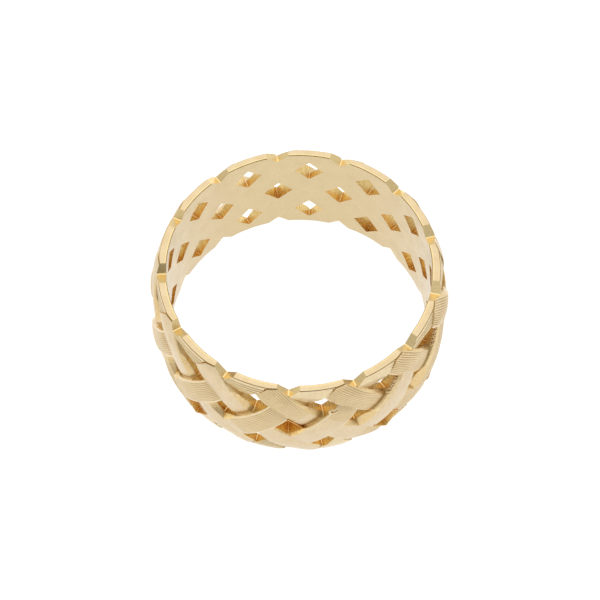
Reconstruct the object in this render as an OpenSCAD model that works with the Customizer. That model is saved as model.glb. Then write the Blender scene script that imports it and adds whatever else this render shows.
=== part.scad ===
// Openwork band ring, cast in one piece: a flat strap plaited round the finger, over and under itself.
// The axis of the finger hole is Z and the ring lies on its lower rim at Z = 0. Lengths are millimetres.

/* [Ring] */
// Inside diameter, the finger size
finger_d = 17.3; // [16:0.1:19]
// Height of the band along the finger
band_h = 8.2; // [8.1:0.05:8.5]
// Wall of the flat polished face on each rim
rim_wall = 0.46; // [0.4:0.02:0.6]
// Wall of the smooth inner layer that the straps run over
inner_wall = 0.6; // [0.55:0.01:0.7]

/* [Plait] */
// Number of turns of the strap along each rim
turns = 13; // [12:1:14]
// Height of the middle row of crossings above the lower rim
middle_z = 3.97; // [3.9:0.01:4.2]
// Distance between two rows of crossings
row_step = 2.36; // [2.3:0.01:2.45]
// Width of the strap on its upper side
strap_w = 1.98; // [1.94:0.01:2.04]
// Wall at the top of a strap that crosses over in the middle row
middle_crown = 1.18; // [1:0.01:1.3]
// Wall at the top of a strap that crosses over in the two outer rows
outer_crown = 1; // [0.9:0.01:1.05]
// Radius of the hump of a strap in the middle row
middle_hump_r = 6.8; // [6:0.1:8]
// Radius of the hump of a strap in the two outer rows
outer_hump_r = 5.8; // [5:0.1:7]
// Distance along an outer row's strap from the crossing to its top, towards the middle row
outer_top = 0.5; // [0:0.05:0.8]
// Radius of the rounded upper side of a strap, across its width
strap_round_r = 3.9; // [3:0.1:6]

/* [Piercings] */
// Width of a lozenge piercing along the band
piercing_w = 1.94; // [1.6:0.02:2]
// Height of a lozenge piercing across the band
piercing_h = 1.93; // [1.6:0.02:2]
// Width of a notch between two turns at the rim
notch_w = 1.46; // [1.2:0.02:1.6]
// Depth of a notch below the rim
notch_depth = 0.57; // [0.46:0.01:0.65]

/* [Hidden] */
$fn = 96;

finger_r = finger_d / 2;
pitch = 360 / turns;
reach = 2 * middle_crown;
outside_r = finger_r + reach;
// Circumference radius at which the plait's angle is measured, and that angle to the rim
plait_r = finger_r + (outer_crown + middle_crown) / 2 - 0.2;
plait_angle = atan(row_step / (plait_r * PI * pitch / 360));
// Half the sweep of a hump, long enough for its ends to sink below the neighbours
hump_half_angle = 38;
// Thickness of a strap's blank, whose lower side lies inside the finger hole until the hole is bored
blank_t = 1.5;
// Height of the bevel that runs from a rim's face to the inner layer's outside
rim_bevel = 0.4;
// Wall and height of the shoulder, where the bevel of a strap at the rim begins
shoulder_wall = 0.74;
shoulder_h = 0.5;

// Inner layer of the band, bevelled from the outside to the face of each rim.
module inner_layer() {
    wall = [
        [0, 0],
        [finger_r + rim_wall, 0],
        [finger_r + inner_wall, rim_bevel],
        [finger_r + inner_wall, band_h - rim_bevel],
        [finger_r + rim_wall, band_h],
        [0, band_h]
    ];
    rotate_extrude() polygon(wall);
}

// Outline that the whole band stays inside: it swells from each rim's face to the crowns.
module envelope() {
    swell = [
        [0, 0],
        [finger_r + rim_wall, 0],
        [finger_r + shoulder_wall, shoulder_h],
        [outside_r, middle_z - row_step / 2],
        [outside_r, middle_z + row_step / 2],
        [finger_r + shoulder_wall, band_h - shoulder_h],
        [finger_r + rim_wall, band_h],
        [0, band_h]
    ];
    rotate_extrude() polygon(swell);
}

// Section of the strap's blank, flat on its sides and rounded on top.
module strap_section(hump_r) {
    intersection() {
        translate([hump_r - blank_t, -strap_w / 2]) square([blank_t + 1, strap_w]);
        translate([hump_r - strap_round_r, 0]) circle(strap_round_r);
    }
}

// One hump of the strap at a crossing. lean is its angle to the rim as seen from outside, and top is
// the distance along the strap from the crossing to the hump's top.
module hump(around, z, lean, crown, hump_r, top) {
    rotate([0, 0, around])
        translate([0, 0, z])
            rotate([lean, 0, 0])
                translate([finger_r + crown - hump_r, top, 0])
                    rotate([0, 0, -hump_half_angle])
                        rotate_extrude(angle = 2 * hump_half_angle)
                            strap_section(hump_r);
}

// The straps that lie on top: rising to the right in the middle row, falling to the right in the outer rows.
module straps() {
    for (k = [0 : turns - 1]) {
        hump(k * pitch, middle_z, plait_angle, middle_crown, middle_hump_r, 0);
        for (side = [-1, 1])
            hump((k + 0.5) * pitch, middle_z + side * row_step, -plait_angle,
                outer_crown, outer_hump_r, side * outer_top);
    }
}

// A lozenge bar lying along X, for one piercing.
module lozenge() {
    corners = [[piercing_w / 2, 0], [0, piercing_h / 2], [-piercing_w / 2, 0], [0, -piercing_h / 2]];
    rotate([90, 0, 90]) linear_extrude(outside_r) polygon(corners);
}

// Three rows of piercings between the straps.
module piercings() {
    for (k = [0 : turns - 1]) {
        rotate([0, 0, (k + 0.5) * pitch]) translate([0, 0, middle_z]) lozenge();
        for (side = [-1, 1])
            rotate([0, 0, k * pitch]) translate([0, 0, middle_z + side * row_step]) lozenge();
    }
}

// A notch between two turns, cut through the upper rim.
module notch() {
    half = notch_w / 2;
    above = 1;
    wider = above * half / notch_depth;
    vee = [[0, -notch_depth], [half + wider, above], [-half - wider, above]];
    rotate([90, 0, 90]) linear_extrude(outside_r) polygon(vee);
}

// The notches of both rims, in line with the middle row's piercings.
module notches() {
    for (k = [0 : turns - 1])
        rotate([0, 0, (k + 0.5) * pitch]) {
            translate([0, 0, band_h]) notch();
            mirror([0, 0, 1]) notch();
        }
}

module band() {
    color("goldenrod")
        difference() {
            intersection() {
                union() {
                    inner_layer();
                    straps();
                }
                envelope();
            }
            translate([0, 0, -1]) cylinder(h = band_h + 2, r = finger_r);
            piercings();
            notches();
        }
}

band();
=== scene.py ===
import math

import bmesh
import bpy
import numpy as np
from mathutils import Matrix, Vector


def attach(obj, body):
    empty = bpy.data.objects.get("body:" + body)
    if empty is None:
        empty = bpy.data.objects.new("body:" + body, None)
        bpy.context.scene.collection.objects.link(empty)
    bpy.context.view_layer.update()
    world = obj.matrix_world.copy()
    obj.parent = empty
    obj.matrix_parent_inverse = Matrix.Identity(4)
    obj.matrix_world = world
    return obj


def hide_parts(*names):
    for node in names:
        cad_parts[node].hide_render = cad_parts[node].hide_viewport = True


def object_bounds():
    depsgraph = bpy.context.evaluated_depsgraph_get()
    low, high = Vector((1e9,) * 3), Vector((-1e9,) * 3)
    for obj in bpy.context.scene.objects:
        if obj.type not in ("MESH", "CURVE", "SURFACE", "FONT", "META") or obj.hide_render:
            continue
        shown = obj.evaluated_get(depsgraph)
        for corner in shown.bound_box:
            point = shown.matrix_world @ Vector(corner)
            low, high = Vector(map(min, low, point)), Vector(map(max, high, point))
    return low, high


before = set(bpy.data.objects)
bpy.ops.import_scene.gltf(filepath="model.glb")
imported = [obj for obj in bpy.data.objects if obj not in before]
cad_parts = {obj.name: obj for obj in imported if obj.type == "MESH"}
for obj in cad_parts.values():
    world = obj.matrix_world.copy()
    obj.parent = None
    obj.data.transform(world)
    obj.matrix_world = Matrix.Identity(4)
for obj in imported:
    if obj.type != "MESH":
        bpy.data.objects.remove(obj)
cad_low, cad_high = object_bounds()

# The view: a product shot from the front, well above the rim, through a long lens.
# The camera looks at the middle of the finger hole, and a turn of the plait stands a little right of it.
# Two small steps, sideways and upward, centre the ring in the picture.
MM = 0.001
CAMERA_AZIMUTH = math.radians(-92.55)
CAMERA_ELEVATION = math.radians(60.18)
CAMERA_DISTANCE = 184.95 * MM
CAMERA_LENS = 167.5
SENSOR = 36.0
NEAREST = 5 * MM
SIDE_STEP = 0.05 * MM
RISE_STEP = 0.01 * MM
MIDDLE_ROW_Z = 3.97

back = Vector((
    math.cos(CAMERA_ELEVATION) * math.cos(CAMERA_AZIMUTH),
    math.cos(CAMERA_ELEVATION) * math.sin(CAMERA_AZIMUTH),
    math.sin(CAMERA_ELEVATION),
))
right = Vector((-math.sin(CAMERA_AZIMUTH), math.cos(CAMERA_AZIMUTH), 0))
up = back.cross(right)
aim = Vector((0, 0, MIDDLE_ROW_Z * MM)) + right * SIDE_STEP + up * RISE_STEP
camera_data = bpy.data.cameras.new("camera")
camera_data.lens = CAMERA_LENS
camera_data.sensor_width = SENSOR
camera_data.clip_start = NEAREST
camera = bpy.data.objects.new("camera", camera_data)
turn = Matrix((right, up, back)).transposed().to_4x4()
camera.matrix_world = Matrix.Translation(aim + back * CAMERA_DISTANCE) @ turn
bpy.context.scene.collection.objects.link(camera)
bpy.context.scene.camera = camera
bpy.context.scene.view_settings.view_transform = "Standard"


# The floor: a white paper sweep, lit so brightly that it is nearly as white as paper can be.
# It takes a faint soft shadow where the ring rests on it.
def linear(hex_colour):
    """An sRGB hex colour as linear red, green, blue and a full alpha."""
    shares = [int(hex_colour[k : k + 2], 16) / 255 for k in (1, 3, 5)]
    return [s / 12.92 if s <= 0.04045 else ((s + 0.055) / 1.055) ** 2.4 for s in shares] + [1.0]


def add_node(tree, kind, links=None, **settings):
    """Adds a node to a tree. links maps an input's name or number to an output, and settings are the
    node's own or its inputs' values."""
    node = tree.nodes.new(kind)
    for name, value in settings.items():
        if hasattr(node, name):
            setattr(node, name, value)
        else:
            node.inputs[name.replace("_", " ")].default_value = value
    for socket, output in (links or {}).items():
        tree.links.new(output, node.inputs[socket])
    return node


def new_material(name):
    """An empty node material and its tree."""
    material = bpy.data.materials.new(name)
    material.use_nodes = True
    material.node_tree.nodes.clear()
    return material, material.node_tree


FLOOR_SIZE = 2.0
PAPER_DARK, PAPER_LIGHT = "#8C8C8C", "#949494"
PAPER_GLOW = 0.93
# Clouds of fibres, coarser than real ones so that they show at all.
FIBRE_MM = 20 / 9

# Matt: uncoated paper scatters the light evenly and has no gloss.
paper, tree = new_material("white matt paper")
fibres = add_node(tree, "ShaderNodeTexNoise", Scale=FLOOR_SIZE / (FIBRE_MM * MM), Detail=3.0)
grey = add_node(tree, "ShaderNodeValToRGB", {0: fibres.outputs[0]})
grey.color_ramp.elements[0].color = linear(PAPER_DARK)
grey.color_ramp.elements[1].color = linear(PAPER_LIGHT)
sheet = add_node(tree, "ShaderNodeBsdfPrincipled", {"Base Color": grey.outputs[0]}, Roughness=0.9)
sheet.inputs["Emission Color"].default_value = linear("#FFFFFF")
sheet.inputs["Emission Strength"].default_value = PAPER_GLOW
add_node(tree, "ShaderNodeOutputMaterial", {"Surface": sheet.outputs[0]})
bpy.ops.mesh.primitive_plane_add(size=FLOOR_SIZE, location=(0, 0, cad_low.z))
floor = bpy.context.object
floor.name = "floor"
floor.data.materials.append(paper)

# The light: a white cloth tent with soft folds, and a soft lamp above it.
# A bright screen stands behind the ring, and low in front the cloth has a dark opening.
HORIZON, TENT_SIDE, TENT_ROOF, OVERHEAD = "#F0EEEC", "#D4D2CF", "#BCBAB7", "#E0E0E0"
# The sine of the elevation at which the cloth has each of these colours.
HORIZON_AT, SIDE_AT, ROOF_AT, OVERHEAD_AT = 0.08, 0.25, 0.7, 0.98
FOLD_SCALE, FOLD_DEPTH = 2.2, 0.25
# A noise lies mostly between these values.
NOISE_LOW, NOISE_HIGH = 0.3, 0.7
SCREEN, SCREEN_ELEVATION, SCREEN_HALF_ANGLE, SCREEN_SOFTNESS = "#FFFFFF", 62, 24, 28
OPENING, OPENING_ELEVATION, OPENING_HALF_ANGLE, OPENING_SOFTNESS = "#2E2A26", 26, 5, 12

world = bpy.data.worlds.new("light tent")
bpy.context.scene.world = world
world.use_nodes = True
tree = world.node_tree
tree.nodes.clear()
direction = add_node(tree, "ShaderNodeTexCoord").outputs["Generated"]
parts = add_node(tree, "ShaderNodeSeparateXYZ", {0: direction})
walls = add_node(tree, "ShaderNodeValToRGB", {0: parts.outputs[2]})
stops = walls.color_ramp.elements
stops[0].position = HORIZON_AT
stops[0].color = linear(HORIZON)
stops[1].position = OVERHEAD_AT
stops[1].color = linear(OVERHEAD)
stops.new(SIDE_AT).color = linear(TENT_SIDE)
stops.new(ROOF_AT).color = linear(TENT_ROOF)
folds = add_node(tree, "ShaderNodeTexNoise", {0: direction}, Scale=FOLD_SCALE, Detail=1.0)
fold_shade = add_node(tree, "ShaderNodeMapRange", {0: folds.outputs[0]})
fold_shade.inputs["From Min"].default_value = NOISE_LOW
fold_shade.inputs["From Max"].default_value = NOISE_HIGH
fold_shade.inputs["To Min"].default_value = 1 - FOLD_DEPTH
fold_shade.inputs["To Max"].default_value = 1 + FOLD_DEPTH
shaded = {0: walls.outputs[0], "Scale": fold_shade.outputs[0]}
cloth = add_node(tree, "ShaderNodeVectorMath", shaded, operation="SCALE").outputs[0]
for y, elevation, half_angle, softness, colour in (
    (1, SCREEN_ELEVATION, SCREEN_HALF_ANGLE, SCREEN_SOFTNESS, SCREEN),
    (-1, OPENING_ELEVATION, OPENING_HALF_ANGLE, OPENING_SOFTNESS, OPENING),
):
    tilt = math.radians(elevation)
    toward = add_node(tree, "ShaderNodeVectorMath", {0: direction}, operation="DOT_PRODUCT")
    toward.inputs[1].default_value = (0, y * math.cos(tilt), math.sin(tilt))
    patch = add_node(tree, "ShaderNodeMapRange", {0: toward.outputs["Value"]})
    patch.interpolation_type = "SMOOTHSTEP"
    patch.inputs["From Min"].default_value = math.cos(math.radians(half_angle + softness))
    patch.inputs["From Max"].default_value = math.cos(math.radians(half_angle))
    mixed = add_node(tree, "ShaderNodeMix", {0: patch.outputs[0], 6: cloth}, data_type="RGBA")
    mixed.inputs[7].default_value = linear(colour)
    cloth = mixed.outputs[2]
glow = add_node(tree, "ShaderNodeBackground", {0: cloth}, Strength=1.0)
add_node(tree, "ShaderNodeOutputWorld", {0: glow.outputs[0]})

LAMP_SIZE = 0.5
LAMP_POWER = 0.12
LAMP_PLACE = Vector((-0.12, 0.25, 0.55))
lamp_data = bpy.data.lights.new("softbox", "AREA")
lamp_data.shape = "DISK"
lamp_data.size = LAMP_SIZE
lamp_data.energy = LAMP_POWER
lamp = bpy.data.objects.new("softbox", lamp_data)
lamp.location = LAMP_PLACE
lamp.rotation_euler = (-LAMP_PLACE).to_track_quat("-Z", "Y").to_euler()
bpy.context.scene.collection.objects.link(lamp)

# The band: one casting in pale 14 carat yellow gold. A flat strap is plaited round the finger, over and
# under itself, on a smooth inner layer that is pierced between the straps. Sizes are millimetres.
FINGER_R = 8.65
TURNS = 13
ROW_STEP = 2.36
PLAIT_R = 9.52
HALF_PITCH = math.pi / TURNS
HALF_STEP = PLAIT_R * HALF_PITCH
LEAN = math.atan2(ROW_STEP, HALF_STEP)
BAND_H = (cad_high.z - cad_low.z) / MM
UPPER_RIM = BAND_H - MIDDLE_ROW_Z
LOWER_RIM = MIDDLE_ROW_Z
# A strap's sides go down to its foot, and its underside lies hidden in the inner layer.
FOOT_WALL = 0.26
UNDERSIDE_WALL = 0.12
# At the band's two sides the casting is thicker than at its front and back: the straps stand higher and
# arch less, and the flat rims are wider.
SIDE_EXCESS, SIDE_FLATTER, SIDE_RIM = 0.09, 0.45, 0.2
# Every face of the casting has one of these surfaces.
RISING, FALLING, ALONG_RIM, GROOVE, EDGE, FLANK, PIERCED, BORE, RIM, BEVEL = range(10)
LOOK_COUNT = 10


def on_band(u, v, wall):
    """Points of the laid-out plait wrapped round the finger, in millimetres. u runs round the band at the
    plait's radius, v along the finger from the middle row, and wall is the height over the bore."""
    angle = np.asarray(u) / PLAIT_R
    r = FINGER_R + np.asarray(wall)
    z = np.asarray(v) + MIDDLE_ROW_Z
    return np.stack(np.broadcast_arrays(r * np.cos(angle), r * np.sin(angle), z), -1)


def closed_shell(top, under, looks):
    """Points, faces and looks of the solid between two grids of points that share their outline. looks
    has one look for each face of the top, and the rest is flank."""
    rows, columns = top.shape[:2]
    number = np.arange(rows * columns).reshape(rows, columns)
    lower = number + rows * columns
    faces = []
    for grid, order in ((number, 1), (lower, -1)):
        quads = np.stack([grid[:-1, :-1], grid[1:, :-1], grid[1:, 1:], grid[:-1, 1:]], -1).reshape(-1, 4)
        faces.append(quads[:, ::order])
    rim = np.concatenate([number[0, :-1], number[:-1, -1], number[-1, :0:-1], number[:0:-1, 0]])
    after = np.roll(rim, -1)
    below = rim + rows * columns
    faces.append(np.stack([rim, after, np.roll(below, -1), below], -1))
    faces = np.concatenate(faces)
    top_looks = np.broadcast_to(looks, (rows - 1, columns - 1)).reshape(-1)
    rest = np.full(len(faces) - len(top_looks), FLANK)
    points = np.concatenate([top.reshape(-1, 3), under.reshape(-1, 3)])
    return points, faces, np.concatenate([top_looks, rest])


def solid_of(name, shells):
    """One mesh object of several closed shells, in metres."""
    points, faces, looks, start = [], [], [], 0
    for shell_points, shell_faces, shell_looks in shells:
        points.append(shell_points)
        faces += [[corner + start for corner in face] for face in shell_faces]
        looks.append(np.broadcast_to(shell_looks, len(shell_faces)))
        start += len(shell_points)
    mesh = bpy.data.meshes.new(name)
    mesh.from_pydata((np.concatenate(points) * MM).tolist(), [], faces)
    for _ in range(LOOK_COUNT):
        mesh.materials.append(None)
    mesh.polygons.foreach_set("material_index", np.concatenate(looks).astype(np.int32))
    solid = bpy.data.objects.new(name, mesh)
    bpy.context.scene.collection.objects.link(solid)
    return solid


def combine(solid, tool, operation):
    """Unites two solids or cuts one with the other, and removes the tool."""
    step = solid.modifiers.new(operation, "BOOLEAN")
    step.solver = "MANIFOLD"
    step.operation = operation
    step.object = tool
    depsgraph = bpy.context.evaluated_depsgraph_get()
    made = bpy.data.meshes.new_from_object(solid.evaluated_get(depsgraph))
    solid.modifiers.clear()
    old, solid.data = solid.data, made
    bpy.data.meshes.remove(old)
    bpy.data.meshes.remove(tool.data)


def smooth_step(low, high, x):
    """A share that rises softly from 0 at low to 1 at high."""
    share = np.clip((x - low) / (high - low), 0, 1)
    return share * share * (3 - 2 * share)


def lower_of(a, b, blend):
    """The lower of two heights, rounded where they cross."""
    share = np.clip(0.5 + 0.5 * (b - a) / blend, 0, 1)
    return b + (a - b) * share - blend * share * (1 - share)


def by_table(table, x):
    """A value read from a short table of places and values."""
    return np.interp(x, [place for place, _ in table], [value for _, value in table])


def sideways(u):
    """How near a place is to one of the band's two sides, from 0 to 1."""
    return np.cos(u / PLAIT_R) ** 2


def heavier(u):
    """How much higher the straps stand at a place than at the front."""
    return 1 + SIDE_EXCESS * sideways(u)


def wider_rim(u):
    """How much wider the flat rim is at a place than at the front."""
    return 1 + SIDE_RIM * sideways(u)


# The inner layer: a plain sleeve of the same casting, which the straps run over.
# It reaches further inwards than the bore, which is cut later.
SLEEVE_WALL = 0.33
BORE_ALLOWANCE = 0.3
STEPS_PER_TURN = 24
STEPS = TURNS * STEPS_PER_TURN


def turned(outline, look):
    """A ring turned round the finger's axis. outline gives the radius and height of each corner at an
    array of angles."""
    angle = np.arange(STEPS) * 2 * math.pi / STEPS
    loops = []
    for r, z in outline(angle):
        loops.append(np.stack(np.broadcast_arrays(r * np.cos(angle), r * np.sin(angle), z), -1))
    number = np.arange(len(loops) * STEPS).reshape(-1, STEPS)
    faces = []
    for near, far in zip(number, np.roll(number, -1, 0)):
        faces.append(np.stack([near, np.roll(near, -1), np.roll(far, -1), far], -1))
    return np.concatenate(loops), np.concatenate(faces), look


def sleeve_outline(angle):
    """The section of the inner layer."""
    outer, inner = FINGER_R + SLEEVE_WALL, FINGER_R - BORE_ALLOWANCE
    return (outer, 0), (outer, BAND_H), (inner, BAND_H), (inner, 0)


band = solid_of("openwork_band", [turned(sleeve_outline, FLANK)])

# The straps where they lie on top: humps of the casting that rise to the right in the middle row and fall
# to the right in the two outer rows. Eleven lines are engraved along each, and its upper edge is burnished
# to a flat facet.
STRAP_STATIONS = 34
STRAP_REACH = 2.95
FOOT_HALF_W = 1.0
CROWN_HALF_W, CROWN_DROP = 0.86, 0.075
# The rounded edge: places across the strap, and how far each lies under the crown.
EDGE_ROUND = ((0.86, 0.075), (0.91, 0.084), (0.94, 0.098), (0.958, 0.12), (0.967, 0.155), (0.972, 0.2))
EDGE_START = 0.84
# The engraved lines, and the nearest that two places across a strap may come.
GROOVE_COUNT, GROOVE_STEP = 11, 0.148
GROOVE_HALF_W, GROOVE_DEPTH = 0.04, 0.055
GROOVE_FADE, PLACE_GAP = 0.03, 0.003
# A place across the strap, and the share of the full depth there above which the lines look engraved.
SAMPLE_PLACE, ENGRAVED_SHARE = 10, 0.35
# A strap dives under its neighbours near its ends.
DIVE, DIVE_LENGTH = 2.32, 0.4
MIDDLE_CROWN, MIDDLE_FALL, MIDDLE_DIVE = 1.17, 0.048, 0.03
OUTER_CROWN, OUTER_TOP, OUTER_DIVE = 1.0, 0.5, 0.05
OUTER_FALL_TO_RIM, OUTER_FALL_TO_MIDDLE = 0.05, 0.075
OUTER_RISE, OUTER_RISE_START = 0.04, 2.2
# The facets: places along the strap, with the facet's drop and its width there.
MIDDLE_SHOULDER = ((-2.4, 0.28), (-2.0, 0.32), (-1.4, 0.28), (-0.7, 0.03), (2.9, 0.02))
MIDDLE_SHOULDER_W = ((-2.4, 0.3), (-2.0, 0.28), (-1.4, 0.2), (-0.7, 0.07), (2.9, 0.06))
OUTER_SHOULDER = ((-2.4, 0.04), (0.4, 0.1), (0.9, 0.26), (1.3, 0.33), (1.8, 0.31), (2.4, 0.2), (2.9, 0.15))
OUTER_SHOULDER_W = ((-2.4, 0.14), (0.4, 0.15), (1.2, 0.24), (2.0, 0.4), (2.9, 0.4))
# The middle straps' facet is sawn up to this place. On the band's right it is broader and burnished.
SAWN_END = -0.9
RIGHT_SHOULDER, RIGHT_SHOULDER_W, RIGHT_COLUMN, RIGHT_SHARPNESS = 0.15, 0.2, 23, 4
# Outer straps end at a crease beside the rim, and the whole band swells from the flat rims to the crowns.
CREASE = 2.27
RIM_WALL, RIM_WALL_AT_NOTCH, NOTCH_RUN = 0.46, 0.31, 1.2
SWELL, SWELL_EASE, SWELL_BLEND = 0.62, 0.17, 0.15
SWELL_RANGE = (-0.1, 1.8)
# Straps that stand higher or lower than the others, by row and column, and the distances below the rim
# between which an outer strap is lifted.
LIFT = {(1, 25): 0.2, (0, 0): -0.15}
LIFT_RUN = (0.3, 1.6)
# The distances below the rim between which the lines of an outer strap begin.
LINE_RUN = (0.06, 0.3)


def section_columns():
    """Places across a strap, how far each lies under the crown, and the share of the groove's depth
    there."""
    inner = []
    for k in range(GROOVE_COUNT):
        line = (k - (GROOVE_COUNT - 1) / 2) * GROOVE_STEP
        inner += [(line - GROOVE_HALF_W, 0), (line, 1), (line + GROOVE_HALF_W, 0)]
    inner += [(-EDGE_START, 0), (EDGE_START, 0)]
    rows = [(t, CROWN_DROP * (t / CROWN_HALF_W) ** 2, share) for t, share in inner]
    for side in (-1, 1):
        rows += [(side * t, drop, 0) for t, drop in EDGE_ROUND]
    return np.array(sorted(rows)).T


def swell(below_rim, rim_wall, u):
    """The wall that the whole band keeps under, by the distance below the rim."""
    below = np.clip(below_rim, *SWELL_RANGE)
    return rim_wall * wider_rim(u) + heavier(u) * (SWELL * below - SWELL_EASE * below * abs(below))


def middle_height(u, s):
    """The wall at the top of a middle row's strap, s along it from the crossing."""
    fall = MIDDLE_FALL * (1 - SIDE_FLATTER * sideways(u))
    dive = MIDDLE_DIVE * np.clip((np.abs(s) - DIVE) / DIVE_LENGTH + 1, 0, 2) ** 2
    return (MIDDLE_CROWN - fall * s ** 2 - dive) * heavier(u)


def on_right(u):
    """How near a place is to the band's right, from 0 to 1. It is 0 from 41 degrees away."""
    nearness = np.cos(u / PLAIT_R - RIGHT_COLUMN * HALF_PITCH)
    return np.clip(RIGHT_SHARPNESS * nearness - (RIGHT_SHARPNESS - 1), 0, 1)


def strap_looks(groove, t, depth, look):
    """The looks of the faces on a strap's upper side: engraved lines, burnished edges and the satin
    field."""
    engraved = (groove[1:] != groove[:-1]) & ((depth[1:] + depth[:-1]) / 2 > ENGRAVED_SHARE * GROOVE_DEPTH)
    on_edge = np.abs((t[1:] + t[:-1]) / 2) > EDGE_START
    return np.where(engraved, GROOVE, np.where(on_edge, EDGE, look))


def strap(column, side, start, depths):
    """A strap where it lies on top. side is 0 in the middle row, and 1 or -1 in the upper and lower row.
    depths is how strongly it is engraved along its way. The facet on its upper edge begins at a sharp
    crease."""
    t, edge_drop, groove = section_columns()
    places = np.concatenate([[-FOOT_HALF_W], t, [FOOT_HALF_W]])
    s = np.linspace(start, STRAP_REACH, STRAP_STATIONS)[:, None]
    lean = -LEAN if side else LEAN
    flip = side or 1
    middle_u = column * HALF_STEP + flip * s * math.cos(lean)
    if side:
        shoulder, width = by_table(OUTER_SHOULDER, s), by_table(OUTER_SHOULDER_W, s)
    else:
        shoulder = by_table(MIDDLE_SHOULDER, s) + RIGHT_SHOULDER * on_right(middle_u)
        width = by_table(MIDDLE_SHOULDER_W, s) + RIGHT_SHOULDER_W * on_right(middle_u)

    # The places across the strap make room for the crease, and the lines fade where they meet it.
    inside = np.abs(t) < CROWN_HALF_W
    crease = EDGE_ROUND[-1][0] - width
    before_edge = np.sum(t < CROWN_HALF_W) - 1
    room = crease - PLACE_GAP * (before_edge - np.arange(len(t)))
    fade = smooth_step(0, GROOVE_FADE, room - t)
    t = np.where(inside, np.minimum(t, room), t)
    from_crease = np.clip((t - crease) / width, 0, 1)
    if side < 0:
        t, from_crease, fade = -t[:, ::-1], from_crease[:, ::-1], fade[:, ::-1]
    drop = np.where(inside, CROWN_DROP * (t / CROWN_HALF_W) ** 2, edge_drop)
    foot = np.full((STRAP_STATIONS, 1), FOOT_HALF_W)
    t = np.concatenate([-foot, t, foot], 1)
    du = s * math.cos(lean) - t * math.sin(lean)
    dv = s * math.sin(lean) + t * math.cos(lean)
    u = column * HALF_STEP + flip * du
    v = side * ROW_STEP + flip * dv

    lift = LIFT.get((side, column), 0)
    depth = np.interp(s, np.linspace(start, STRAP_REACH, len(depths)), depths) * GROOVE_DEPTH * fade
    if side:
        below_rim = (UPPER_RIM if side > 0 else LOWER_RIM) - side * v
        fall = np.where(s < OUTER_TOP, OUTER_FALL_TO_RIM, OUTER_FALL_TO_MIDDLE)
        height = OUTER_CROWN - fall * (1 - SIDE_FLATTER * sideways(u)) * (s - OUTER_TOP) ** 2
        height -= OUTER_DIVE * np.clip((s - DIVE) / DIVE_LENGTH + 1, 0, 2) ** 2
        height += OUTER_RISE * np.clip(below_rim - OUTER_RISE_START, 0, None)
        rim_wall = RIM_WALL + (RIM_WALL_AT_NOTCH - RIM_WALL) * np.clip((s + CREASE) / NOTCH_RUN, 0, 1)
        height = lower_of(height * heavier(u), swell(below_rim, rim_wall, u), SWELL_BLEND)
        height += lift * smooth_step(*LIFT_RUN, below_rim)
        depth = depth * smooth_step(*LINE_RUN, below_rim[:, 1:-1])
    else:
        height = middle_height(u, s) + lift
    wall = np.full(du.shape, FOOT_WALL)
    wall[:, 1:-1] = height[:, 1:-1] - shoulder * from_crease - drop - depth * groove

    sample = depth[:, SAMPLE_PLACE : SAMPLE_PLACE + 1]
    looks = strap_looks(np.concatenate([[0], groove, [0]]), places, sample, FALLING if side else RISING)
    if not side:
        sawn = (s[1:, 0] < SAWN_END) & (on_right(middle_u)[1:, 0] < 0.5)
        looks[np.ix_(sawn, (places[1:] + places[:-1]) / 2 > EDGE_START)] = PIERCED
    return closed_shell(on_band(u, v, wall), on_band(u, v, UNDERSIDE_WALL), looks)


# How strongly each strap is engraved at its start, middle and end. The engraving is worn and patchy.
MIDDLE_ENGRAVING = {
    14: (0.6, 0.8, 0.8),
    16: (0.5, 0.7, 0.7),
    18: (0.2, 0.5, 0.7),
    20: (0, 0.2, 0.6),
    22: (0, 0, 0.2),
    24: (0.7, 0.7, 0.7),
}
UPPER_ENGRAVING = {
    15: (0.1, 0, 0),
    17: (0, 0, 0),
    19: (0.35, 0.5, 0.1),
    21: (0.6, 0.7, 0.6),
    23: (0.8, 0.7, 0.7),
    25: (0.8, 0.8, 0.8),
}
LOWER_ENGRAVING = {15: (0.8, 0.8, 0.8), 17: (0.1, 0, 0.1), 19: (0, 0, 0.1), 21: (0.8, 0.2, 0)}
ENGRAVING_CYCLE = ((0.7, 0.7, 0.4), (0.2, 0.6, 0.7), (0.7, 0.8, 0.7), (0.1, 0.2, 0.5))


def engraving(table, column):
    """The engraving of a strap, by its own entry or by the cycle that the others follow."""
    return table.get(column, ENGRAVING_CYCLE[column * 3 // 2 % len(ENGRAVING_CYCLE)])


even = [2 * k for k in range(TURNS)]
odd = [2 * k + 1 for k in range(TURNS)]
straps = [strap(c, 0, -STRAP_REACH, engraving(MIDDLE_ENGRAVING, c)) for c in even]
combine(band, solid_of("middle straps", straps), "UNION")

# The limbs: the strap where it comes up from under a crossing and turns along the rim, part of the same
# casting. It is engraved with up to eight lines that run along the rim.
LIMB_STATIONS = 30
LIMB_START, LIMB_END = -2.9, 1.25
# The rounded lower edge: places from it, and how far each lies under the limb's surface. The first is its
# foot.
LIMB_EDGE = ((0.0, 0), (0.02, 0.12), (0.035, 0.07), (0.055, 0.035), (0.08, 0.01))
LIMB_EDGE_TURN = 0.1
LIMB_GROOVES, LIMB_GROOVE_STEP, LIMB_GROOVE_DEPTH = 8, 0.17, 0.065
LIMB_FADE, LIMB_PLACE_GAP = 0.06, 0.002
# Places below the rim, without lines. The last two lie beyond the rim, where the trim cuts them off.
LIMB_TOP_ROWS = (0.1, 0.07, 0.04, 0.01, -0.02, -0.25)
# The limb's height under the crossing and along the rim, its tilt across its width, and how it meets the
# rim.
LIMB_LOW, LOWER_LIMB_LOW, LIMB_HIGH = 0.42, 0.62, 0.78
LIMB_RISE = (0.9, 2.9)
LIMB_TILT, LIMB_HALF_W = 0.12, 0.9
LIMB_SLOPE, LIMB_BLEND = 0.32, 0.06
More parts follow.
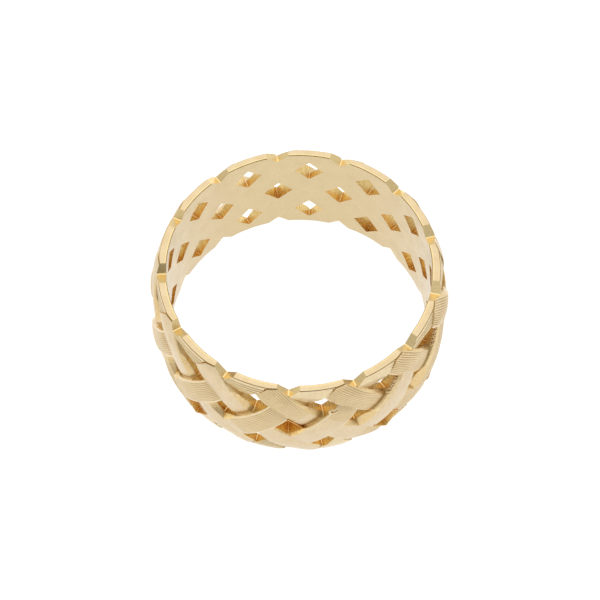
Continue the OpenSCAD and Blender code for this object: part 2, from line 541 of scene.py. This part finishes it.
# How far the limb's lower edge lies above the outer row.
HOLE_TOP = 0.93
# The limb's step under the outer strap's crease, and how it falls away beyond the crease and under its
# neighbour.
CREASE_STEP, CREASE_FALL, CREASE_RUN = 0.02, 0.25, 0.1
UNDER_EDGE, UNDER_FALL = 0.93, 0.6


def limb(column, side, depth):
    """The strap between a crossing that it goes under and the turn at the rim."""
    rim = UPPER_RIM if side > 0 else LOWER_RIM
    a = np.linspace(LIMB_START, LIMB_END, LIMB_STATIONS)[:, None]
    edge = ROW_STEP + HOLE_TOP + np.minimum(a, LIMB_EDGE_TURN) * math.tan(LEAN)
    step = [place / math.cos(LEAN) for place, _ in LIMB_EDGE]
    first = edge + step[-1]
    beside_line = np.array([1, 0, -1]) * GROOVE_HALF_W
    from_rim = np.arange(LIMB_GROOVES, 0, -1)[:, None] * LIMB_GROOVE_STEP + beside_line
    lines = rim - LIMB_TOP_ROWS[0] - from_rim.reshape(-1)
    line_fade = smooth_step(0.0, LIMB_FADE, lines - first)
    lines = np.maximum(lines, first + LIMB_PLACE_GAP * np.arange(1, len(lines) + 1))
    last = rim - np.array(LIMB_TOP_ROWS) + 0 * a
    dv = np.concatenate([edge + np.array(step), lines, last], 1)
    flat = np.zeros(len(LIMB_TOP_ROWS))
    drop = np.concatenate([[low for _, low in LIMB_EDGE], 0 * lines[0], flat])
    groove = np.concatenate([[0] * len(step), np.tile([0, 1, 0], LIMB_GROOVES), flat])
    fade = np.zeros(dv.shape)
    fade[:, len(step) : -len(flat)] = line_fade

    along = (a + HALF_STEP) * math.cos(LEAN) + (dv - ROW_STEP) * math.sin(LEAN)
    across = -(a + HALF_STEP) * math.sin(LEAN) + (dv - ROW_STEP) * math.cos(LEAN)
    low = (LIMB_LOW if side > 0 else LOWER_LIMB_LOW) + LIMB_TILT * (across + LIMB_HALF_W)
    height = low + (LIMB_HIGH - low) * smooth_step(*LIMB_RISE, along)
    u = column * HALF_STEP + side * a
    to_rim = RIM_WALL * wider_rim(u) + LIMB_SLOPE * heavier(u) * (rim - dv)
    height = lower_of(height * heavier(u), to_rim, LIMB_BLEND)
    past_crease = (a - HALF_STEP) * math.cos(LEAN) - (dv - ROW_STEP) * math.sin(LEAN) + CREASE
    height -= CREASE_STEP + CREASE_FALL * smooth_step(0, CREASE_RUN, past_crease)
    before = (a + HALF_STEP) * math.sin(LEAN) + (dv - ROW_STEP) * math.cos(LEAN)
    height -= UNDER_FALL * smooth_step(0, CREASE_RUN, UNDER_EDGE - before)
    wall = height - drop - groove * fade * depth * LIMB_GROOVE_DEPTH
    wall[:, 0] = FOOT_WALL
    v = side * dv

    engraved = (groove[1:] != groove[:-1]) & (depth > ENGRAVED_SHARE)
    looks = np.where(engraved, GROOVE, ALONG_RIM)
    looks[: len(LIMB_EDGE)] = EDGE
    return closed_shell(on_band(u, v, wall), on_band(u, v, UNDERSIDE_WALL), looks)


# How strongly each limb is engraved.
UPPER_LIMB_ENGRAVING = {16: 0.5, 18: 0.45, 20: 0.1, 22: 0}
LOWER_LIMB_ENGRAVING = {16: 0, 18: 0.6, 20: 0}
OTHER_LIMBS_ENGRAVING = 0.5

for side, straps_engraved, limbs_engraved in (
    (1, UPPER_ENGRAVING, UPPER_LIMB_ENGRAVING),
    (-1, LOWER_ENGRAVING, LOWER_LIMB_ENGRAVING),
):
    limbs = [limb(c, side, limbs_engraved.get(c, OTHER_LIMBS_ENGRAVING)) for c in even]
    combine(band, solid_of("limbs", limbs), "UNION")
    straps = [strap(c, side, -CREASE, engraving(straps_engraved, c)) for c in odd]
    combine(band, solid_of("outer straps", straps), "UNION")

# The bore and the rims: the casting is reamed to the finger's size and its rims are ground flat and
# polished. A fine bevel breaks each edge of a rim. Beside a notch, where a strap comes down, the rim is
# thinner.
INNER_BEVEL = 0.035
OUTER_BEVEL = 0.024
# Places before a notch, and the wall at the rim's outer edge there.
RIM_AT_NOTCH = ((-1.34, 0.447), (-0.47, 0.31))
# Keeps two corners of the trim apart.
SLIVER = 0.001


def rim_edge(u, side):
    """The wall at the outer edge of a flat rim."""
    from_notch = (side * u / HALF_STEP % 2 - 1) * HALF_STEP
    beside_notch = by_table(RIM_AT_NOTCH, from_notch) * wider_rim(u)
    along_limb = RIM_WALL * wider_rim(u) - CREASE_STEP
    return np.where((from_notch > RIM_AT_NOTCH[0][0]) & (from_notch < 0), beside_notch, along_limb)


def trim_outline(angle):
    """The section of the space that the finished band keeps to. Outside it widens at once to clear the
    straps."""
    u = angle * PLAIT_R
    upper = FINGER_R + rim_edge(u, 1) - OUTER_BEVEL
    lower = FINGER_R + rim_edge(u, -1) - OUTER_BEVEL
    return (
        (lower, 0),
        (lower + BAND_H / 2, BAND_H / 2),
        (upper + BAND_H / 2, BAND_H / 2 + SLIVER),
        (upper, BAND_H),
        (FINGER_R + INNER_BEVEL, BAND_H),
        (FINGER_R, BAND_H - INNER_BEVEL),
        (FINGER_R, INNER_BEVEL),
        (FINGER_R + INNER_BEVEL, 0),
    )


combine(band, solid_of("trim", [turned(trim_outline, BORE)]), "INTERSECT")

# The piercings: 39 lozenges in three rows, sawn out between the straps. In some of them a web of the
# casting is left, and they are narrower at the bore or outside.
HOLE_HALF_W, HOLE_HALF_H, HOLE_CORNER = 0.97, 0.965, 0.03
# The walls at which a web begins and ends, and its size against the piercing's.
WEB_START, WEB_WALL, WEB_SPREAD = 0.03, 0.85, 1.05
# The share of their size that webbed piercings keep at the bore and outside.
MIDDLE_OPEN = {5: (1, 0.97), 7: (1, 0.87), 19: (0.65, 1)}
LOWER_OPEN = {4: (1, 0.88), 16: (0.75, 1), 22: (0.6, 1), 24: (0.8, 1)}
# Walls inside and outside the band between which a cut reaches.
CUT_START, CUT_END = -1, 3


def bar(u, v, outline, look, rings=((CUT_START, 1), (CUT_END, 1))):
    """A radial prism. outline has its corners in order, as places in u and v, and rings has the walls at
    which it is drawn with the share of its size there."""
    angle = u / PLAIT_R
    out = np.array([math.cos(angle), math.sin(angle), 0])
    side = np.array([-math.sin(angle), math.cos(angle), 0])
    points = []
    for wall, share in rings:
        for du, dv in outline:
            z = dv * share + v + MIDDLE_ROW_Z
            points.append(out * (FINGER_R + wall) + side * du * share + np.array([0, 0, z]))
    n, last = len(outline), (len(rings) - 1) * len(outline)
    faces = [[n - 1 - k for k in range(n)], [last + k for k in range(n)]]
    for low in range(0, last, n):
        faces += [[low + k, low + (k + 1) % n, low + n + (k + 1) % n, low + n + k] for k in range(n)]
    return np.array(points), faces, look


lozenge = [
    (HOLE_HALF_W, 0),
    (HOLE_CORNER, HOLE_HALF_H),
    (-HOLE_CORNER, HOLE_HALF_H),
    (-HOLE_HALF_W, 0),
    (-HOLE_CORNER, -HOLE_HALF_H),
    (HOLE_CORNER, -HOLE_HALF_H),
]
webs, cuts = [], []
for row, columns, partly_open in ((0, odd, MIDDLE_OPEN), (1, even, {}), (-1, even, LOWER_OPEN)):
    for c in columns:
        at_bore, outside = partly_open.get(c, (1, 1))
        rings = ((CUT_START, at_bore), (0, at_bore), (WEB_WALL, outside), (CUT_END, outside))
        cuts.append(bar(c * HALF_STEP, row * ROW_STEP, lozenge, PIERCED, rings))
        if c in partly_open:
            rings = ((WEB_START, WEB_SPREAD), (WEB_WALL, WEB_SPREAD))
            webs.append(bar(c * HALF_STEP, row * ROW_STEP, lozenge, PIERCED, rings))
combine(band, solid_of("webs", webs), "UNION")
combine(band, solid_of("piercings", cuts), "DIFFERENCE")

# The notches: 26 vees, filed by hand through both rims between the turns of the strap, so that they differ.
# Each has its half width, its depth and how far its bottom lies to one side.
NOTCH = (0.7, 0.57, 0)
ODD_NOTCHES = {
    11: (0.7, 0.5, 0.22),
    13: (0.7, 0.5, 0.22),
    15: (0.66, 0.5, 0.25),
    23: (0.74, 0.42, -0.05),
    25: (0.74, 0.42, -0.05),
    1: (0.74, 0.42, -0.05),
}
NOTCH_CORNER = 0.045
NOTCH_ABOVE = 1.0

cuts = []
for c in odd:
    half_w, notch_depth, shift = ODD_NOTCHES.get(c, NOTCH)
    for side, rim in ((1, UPPER_RIM), (-1, LOWER_RIM)):
        vee = [
            (half_w + NOTCH_ABOVE * (half_w + shift) / notch_depth, side * NOTCH_ABOVE),
            (-half_w - NOTCH_ABOVE * (half_w - shift) / notch_depth, side * NOTCH_ABOVE),
            (-NOTCH_CORNER - shift, -side * notch_depth),
            (NOTCH_CORNER - shift, -side * notch_depth),
        ]
        cuts.append(bar(c * HALF_STEP, side * rim, vee[::side], FLANK))
combine(band, solid_of("notches", cuts), "DIFFERENCE")

# The casting flaws, all on middle straps: a curl of metal round a pit at the front, and on the right two
# upper edges that are left rough, with beads of metal along them.

# The curl's strap, and its place along the strap and across it.
CURL = (20, 1.88, 1.0)
CURL_R, CURL_THICKNESS, CURL_WALL = 0.24, 0.085, 0.97
CURL_FROM, CURL_TO, CURL_TAPER, CURL_FULLNESS = 60, 345, 0.4, 0.6
CURL_STATIONS, CURL_SIDES = 22, 10
PIT_R, PIT_RISE = 0.13, 0.04
ROUGH_COLUMNS = (22, 24)
# The beads are added in batches in which no two touch.
BEAD_COUNT, BEAD_BATCHES = 20, 4
# The first bead's place along the strap and across it, its depth and its size, and how much the others
# differ.
BEAD_ALONG, BEAD_ALONG_STEP, BEAD_ALONG_STRAY = 0.85, 0.062, 0.012
BEAD_ACROSS, BEAD_ACROSS_STRAY = 0.93, 0.028
BEAD_DEPTH, BEAD_DEPTH_STRAY = 0.23, 0.05
BEAD_R, BEAD_R_STRAY = 0.07, 0.009


def on_strap(column, s, t):
    """The laid-out place of a point on a middle strap, s along it and t across it."""
    u = column * HALF_STEP + s * math.cos(LEAN) - t * math.sin(LEAN)
    return u, s * math.sin(LEAN) + t * math.cos(LEAN)


def curl():
    """A short wire of metal bent nearly into a ring, thinner at its ends."""
    around = np.radians(np.linspace(CURL_FROM, CURL_TO, CURL_STATIONS))[:, None]
    section = np.arange(CURL_SIDES) * 2 * math.pi / CURL_SIDES
    taper = np.sin(np.linspace(CURL_TAPER, math.pi - CURL_TAPER, CURL_STATIONS))[:, None]
    thickness = CURL_THICKNESS * taper ** CURL_FULLNESS
    u, v = on_strap(*CURL)
    reach = CURL_R + thickness * np.cos(section)
    wall = CURL_WALL + thickness * np.sin(section)
    points = on_band(u + reach * np.cos(around), v + reach * np.sin(around), wall)
    number = np.arange(CURL_STATIONS * CURL_SIDES).reshape(CURL_STATIONS, CURL_SIDES)
    after = np.roll(number, -1, 1)
    faces = np.stack([number[:-1], number[1:], after[1:], after[:-1]], -1).reshape(-1, 4).tolist()
    faces += [number[0].tolist(), number[-1, ::-1].tolist()]
    return points.reshape(-1, 3), faces, EDGE


def ball(u, v, wall, radius, look):
    """A small round bead."""
    shape = bmesh.new()
    place = Matrix.Translation(tuple(on_band(u, v, wall)))
    bmesh.ops.create_icosphere(shape, subdivisions=2, radius=radius, matrix=place)
    points = np.array([tuple(vertex.co) for vertex in shape.verts])
    faces = [[vertex.index for vertex in face.verts] for face in shape.faces]
    shape.free()
    return points, faces, look


combine(band, solid_of("curl", [curl()]), "UNION")
pit = ball(*on_strap(*CURL), CURL_WALL + PIT_RISE, PIT_R, PIERCED)
combine(band, solid_of("pit", [pit]), "DIFFERENCE")
for batch in range(BEAD_BATCHES):
    beads = []
    for c in ROUGH_COLUMNS:
        for k in range(batch, BEAD_COUNT, BEAD_BATCHES):
            s = BEAD_ALONG + k * BEAD_ALONG_STEP + BEAD_ALONG_STRAY * (k * 11 % 5)
            u, v = on_strap(c, s, BEAD_ACROSS + BEAD_ACROSS_STRAY * (k * 7 % 5))
            wall = middle_height(u, s) - BEAD_DEPTH - BEAD_DEPTH_STRAY * (k * 3 % 5)
            beads.append(ball(u, v, wall, BEAD_R + BEAD_R_STRAY * (k * 7 % 4), RIM))
    combine(band, solid_of("beads", beads), "UNION")

# Crumbs that the cuts leave loose drop away.
shape = bmesh.new()
shape.from_mesh(band.data)
pieces = []
for first in shape.verts:
    if first.tag:
        continue
    first.tag = True
    piece, ends = [first], [first]
    while ends:
        for edge in ends.pop().link_edges:
            for vertex in edge.verts:
                if not vertex.tag:
                    vertex.tag = True
                    piece.append(vertex)
                    ends.append(vertex)
    pieces.append(piece)
pieces.sort(key=len)
crumbs = [vertex for piece in pieces[:-1] for vertex in piece]
bmesh.ops.delete(shape, geom=crumbs, context="VERTS")
shape.to_mesh(band.data)
shape.free()

# The surfaces: pale yellow gold all over, brushed, engraved, filed, sawn or polished.
# Faces that stand on edge belong to the flanks, and the trim's faces are bore, bevel or rim by their slope.
STEEP, BEVELLED, LEVEL = 0.45, 0.5, 0.9
count = len(band.data.polygons)
looks = np.zeros(count, np.int32)
band.data.polygons.foreach_get("material_index", looks)
centres = np.zeros(3 * count)
band.data.polygons.foreach_get("center", centres)
normals = np.zeros(3 * count)
band.data.polygons.foreach_get("normal", normals)
centres = centres.reshape(-1, 3) / MM
normals = normals.reshape(-1, 3)
radius = np.hypot(centres[:, 0], centres[:, 1])
outward = (normals[:, 0] * centres[:, 0] + normals[:, 1] * centres[:, 1]) / radius
# Steep faces of the straps and limbs take the flank's colour, which is a painted reflection.
looks[(looks <= ALONG_RIM) & (outward < STEEP)] = FLANK
# Sloping faces of the trim take the bevel's dark colour, a painted reflection of the dark.
looks[(looks == BORE) & (abs(normals[:, 2]) > BEVELLED)] = BEVEL
looks[(looks == BEVEL) & (abs(normals[:, 2]) > LEVEL)] = RIM


def add_math(tree, operation, a, b=None, value=None):
    """Adds a calculation with one or two outputs, or with an output and a value."""
    links = {0: a} if b is None else {0: a, 1: b}
    node = add_node(tree, "ShaderNodeMath", links, operation=operation)
    if value is not None:
        node.inputs[1].default_value = value
    return node.outputs[0]


def place_on_band(tree, lean, stretch):
    """The place round the band, along the finger and through the wall in millimetres, turned so that the
    first of the three runs along a strap, and stretched."""
    where = add_node(tree, "ShaderNodeTexCoord")
    axes = add_node(tree, "ShaderNodeSeparateXYZ", {0: where.outputs["Object"]})
    x, y, z = axes.outputs
    angle = add_math(tree, "ARCTAN2", y, x)
    squares = add_math(tree, "ADD", add_math(tree, "MULTIPLY", x, x), add_math(tree, "MULTIPLY", y, y))
    place = add_node(tree, "ShaderNodeCombineXYZ", {
        0: add_math(tree, "MULTIPLY", angle, value=PLAIT_R),
        1: add_math(tree, "MULTIPLY", z, value=1 / MM),
        2: add_math(tree, "MULTIPLY", add_math(tree, "SQRT", squares), value=1 / MM),
    })
    along = add_node(tree, "ShaderNodeVectorRotate", {0: place.outputs[0]}, rotation_type="Z_AXIS")
    along.inputs["Angle"].default_value = -lean
    stretched = add_node(tree, "ShaderNodeVectorMath", {0: along.outputs[0]}, operation="MULTIPLY")
    stretched.inputs[1].default_value = stretch
    return stretched.outputs[0]


# Patches of wear, in which the gloss differs.
WEAR_MM, WEAR_ROUGHNESS = 5 / 6, 0.08
# The part of the tool marks' noise that shows as specks.
SPECK_LOW, SPECK_HIGH = 0.35, 0.65
# The old polish that is left on the metal as a haze.
HAZE_ROUGHNESS = 0.3
# The share of a face's slope that looks outward, at which its colour goes from its painted reflection where
# it leans to its level colour.
LEANING, FACING = 0.68, 0.88


def gold(name, level, painted_lean_colour, shade_and_speck_colour, roughness, grain, reach, haze, lean=0):
    """Gold whose colour is darkened by painted shade where it lies low between its neighbours, and mottled
    by its grain of tool marks. level, slope and deep are its colours where it faces outward, where it
    leans away, which is a painted reflection, and in painted shade, which also colours the grain's specks.
    reach is how near a neighbour darkens it with painted shade in millimetres, and the shares of open sky
    at which it is darkest and lightest. haze is how much old polish is left, and lean turns the grain."""
    grain_mm, stretch, height_mm, mottle = grain
    reach_mm, darkest, lightest = reach
    material, tree = new_material(name)
    marks = add_node(tree, "ShaderNodeTexNoise", {"Vector": place_on_band(tree, lean, stretch)})
    marks.inputs["Scale"].default_value = 1 / grain_mm
    marks.inputs["Detail"].default_value = 3.0
    marks.inputs["Roughness"].default_value = 0.6
    bump = add_node(tree, "ShaderNodeBump", {"Height": marks.outputs[0]}, Strength=1.0)
    bump.inputs["Distance"].default_value = height_mm * MM
    where = add_node(tree, "ShaderNodeTexCoord")
    wear = add_node(tree, "ShaderNodeTexNoise", {"Vector": where.outputs["Object"]}, Detail=4.0)
    wear.inputs["Scale"].default_value = 1 / (WEAR_MM * MM)
    gloss = add_node(tree, "ShaderNodeMapRange", {0: wear.outputs[0]})
    gloss.inputs["From Min"].default_value = NOISE_LOW
    gloss.inputs["From Max"].default_value = NOISE_HIGH
    gloss.inputs["To Min"].default_value = roughness - WEAR_ROUGHNESS
    gloss.inputs["To Max"].default_value = roughness + WEAR_ROUGHNESS
    # Painted shade: the colour goes toward the shade colour where neighbours are near, by ambient
    # occlusion.
    sky = add_node(tree, "ShaderNodeAmbientOcclusion", samples=8, Distance=reach_mm * MM)
    unshaded_share = add_node(tree, "ShaderNodeMapRange", {0: sky.outputs["AO"]})
    unshaded_share.inputs["From Min"].default_value = darkest
    unshaded_share.inputs["From Max"].default_value = lightest
    specks = add_node(tree, "ShaderNodeMapRange", {0: marks.outputs[0]})
    specks.inputs["From Min"].default_value = SPECK_LOW
    specks.inputs["From Max"].default_value = SPECK_HIGH
    specks.inputs["To Min"].default_value = 1 - mottle
    specks.inputs["To Max"].default_value = 1.0
    share = add_math(tree, "MULTIPLY", unshaded_share.outputs[0], specks.outputs[0])
    colour = add_node(tree, "ShaderNodeMix", {0: share}, data_type="RGBA")
    colour.inputs[6].default_value = linear(shade_and_speck_colour)
    colour.inputs[7].default_value = linear(level)
    # Painted reflection: a face that leans away from outward takes the leaning colour in place of its level
    # colour.
    if painted_lean_colour:
        place = where.outputs["Object"]
        round_axis = add_node(tree, "ShaderNodeVectorMath", {0: place}, operation="MULTIPLY")
        round_axis.inputs[1].default_value = (1, 1, 0)
        out = add_node(tree, "ShaderNodeVectorMath", {0: round_axis.outputs[0]}, operation="NORMALIZE")
        both = {0: out.outputs[0], 1: where.outputs["Normal"]}
        facing = add_node(tree, "ShaderNodeVectorMath", both, operation="DOT_PRODUCT")
        flat = add_node(tree, "ShaderNodeMapRange", {0: facing.outputs["Value"]})
        flat.interpolation_type = "SMOOTHSTEP"
        flat.inputs["From Min"].default_value = LEANING
        flat.inputs["From Max"].default_value = FACING
        base = add_node(tree, "ShaderNodeMix", {0: flat.outputs[0]}, data_type="RGBA")
        base.inputs[6].default_value = linear(painted_lean_colour)
        base.inputs[7].default_value = linear(level)
        tree.links.new(base.outputs[2], colour.inputs[7])
    links = {"Base Color": colour.outputs[2], "Roughness": gloss.outputs[0], "Normal": bump.outputs[0]}
    metal = add_node(tree, "ShaderNodeBsdfPrincipled", links, Metallic=1.0)
    metal.inputs["Coat Weight"].default_value = haze
    metal.inputs["Coat Roughness"].default_value = HAZE_ROUGHNESS
    add_node(tree, "ShaderNodeOutputMaterial", {"Surface": metal.outputs[0]})
    return material


# Gold's pale field; its cream and straw where it leans, which are painted reflection; and its brown,
# painted shade and painted reflection of gold on gold where neighbours are near, which also tints the
# specks.
PALE, LEAN_REFLECTION_CREAM, LEAN_REFLECTION_STRAW, SHADE_AND_SPECK_BROWN = "#E2CFAA", "#F2DDAC", "#E2C792", "#AC7B32"
# Marks of the tools, all coarser than the real ones so that they show: their size in millimetres, how
# finely they repeat along the strap, across it and through the wall, their height, and their share in the
# colour.
EVEN = (1, 1, 1)
BRUSHED = (0.12, (0.3, 3, 1), 0.026, 0.25)
CUT = (0.1, EVEN, 0.002, 0.2)
RUBBED = (0.2, EVEN, 0.014, 0.2)
FILED = (0.15, EVEN, 0.012, 0.15)
SAWN = (0.2, (2, 2, 0.3), 0.038, 0.4)
WORN = (0.12, (0.6, 1.2, 1), 0.006, 0.18)
POLISHED = (0.9, EVEN, 0.008, 0.2)
GROUND = (0.3, EVEN, 0.008, 0.3)
# Painted shade: how near a neighbour darkens a surface's colour, and the shares of open sky between which
# it does.
SHADE_ON_STRAP = (0.13, 0.1, 0.7)
SHADE_IN_LINE = (0.1, 0, 0.5)
SHADE_ON_EDGE = (0.1, 0.1, 0.6)
SHADE_ON_FLANK = (0.3, 0.1, 0.75)
SHADE_IN_PIERCING = (0.6, 0.3, 0.9)
SHADE_IN_THE_OPEN = (0.3, 0.2, 0.8)
# In the order of the surfaces' numbers.
surfaces = [
    # Brushed along each strap with a wire wheel: fine hair lines and a soft pale sheen.
    # Its cream where it leans is a painted reflection, and its brown where neighbours are near is painted
    # shade.
    gold("satin gold, strap that rises", PALE, LEAN_REFLECTION_CREAM, SHADE_AND_SPECK_BROWN, 0.36, BRUSHED, SHADE_ON_STRAP, 0.45, LEAN),
    gold("satin gold, strap that falls", PALE, LEAN_REFLECTION_CREAM, SHADE_AND_SPECK_BROWN, 0.36, BRUSHED, SHADE_ON_STRAP, 0.45, -LEAN),
    gold("satin gold, strap along the rim", "#EAD8B0", LEAN_REFLECTION_CREAM, SHADE_AND_SPECK_BROWN, 0.36, BRUSHED, SHADE_ON_STRAP, 0.45),
    # Cut with a graver: a thin line that is duller than the satin beside it, and darker by painted shade in
    # the cut, with more painted shade where neighbours are near.
    gold("engraved line in gold", "#D3BA86", None, "#A67E38", 0.42, CUT, SHADE_IN_LINE, 0.2),
    # Rubbed smooth with a steel and glossier than the satin. Its slightly brighter colour is a painted
    # highlight, its straw yellow where it leans a painted reflection, and its brown where neighbours are
    # near painted shade.
    gold("burnished edge of the strap", "#E4D2AA", LEAN_REFLECTION_STRAW, SHADE_AND_SPECK_BROWN, 0.3, RUBBED, SHADE_ON_EDGE, 0.45),
    # Filed by hand: a warm gloss, broken up by the file's marks. Its colour, brighter and more golden than
    # the satin's, is a painted reflection on the steep faces, and it darkens to brown by painted shade near
    # neighbours.
    gold("filed gold flank", "#F9E1A8", None, "#BE8534", 0.28, FILED, SHADE_ON_FLANK, 0.1),
    # Sawn through the wall. Its saturated orange is painted shade and painted reflection of gold mirroring
    # gold between the ribs of the cut.
    gold("saw-cut gold piercing", "#F6DC98", None, "#C47F2A", 0.24, SAWN, SHADE_IN_PIERCING, 0),
    # Worn by the finger: smooth, softly clouded and a little greyer, and darkened by painted shade near its
    # neighbours.
    gold("worn gold bore", "#D9C498", None, "#BF9F62", 0.32, WORN, SHADE_IN_THE_OPEN, 0.45),
    # Polished on a wheel: the clearest reflections of the whole ring, darkened by painted shade near its
    # neighbours.
    gold("polished gold rim", "#E4CEA5", None, "#CFA967", 0.22, POLISHED, SHADE_IN_THE_OPEN, 0.1),
    # Ground to a hair-thin bevel. Its dark brown colour is a painted reflection of the dark, which draws a
    # thin brown line beside the rim.
    gold("fine bevel beside the rim", "#A88448", None, "#80602E", 0.35, GROUND, SHADE_IN_THE_OPEN, 0),
]
SHARP_ANGLE = math.radians(25)
band.data.materials.clear()
for surface in surfaces:
    band.data.materials.append(surface)
band.data.polygons.foreach_set("material_index", looks)
band.data.set_sharp_from_angle(angle=SHARP_ANGLE)
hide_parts("band")
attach(band, "root")
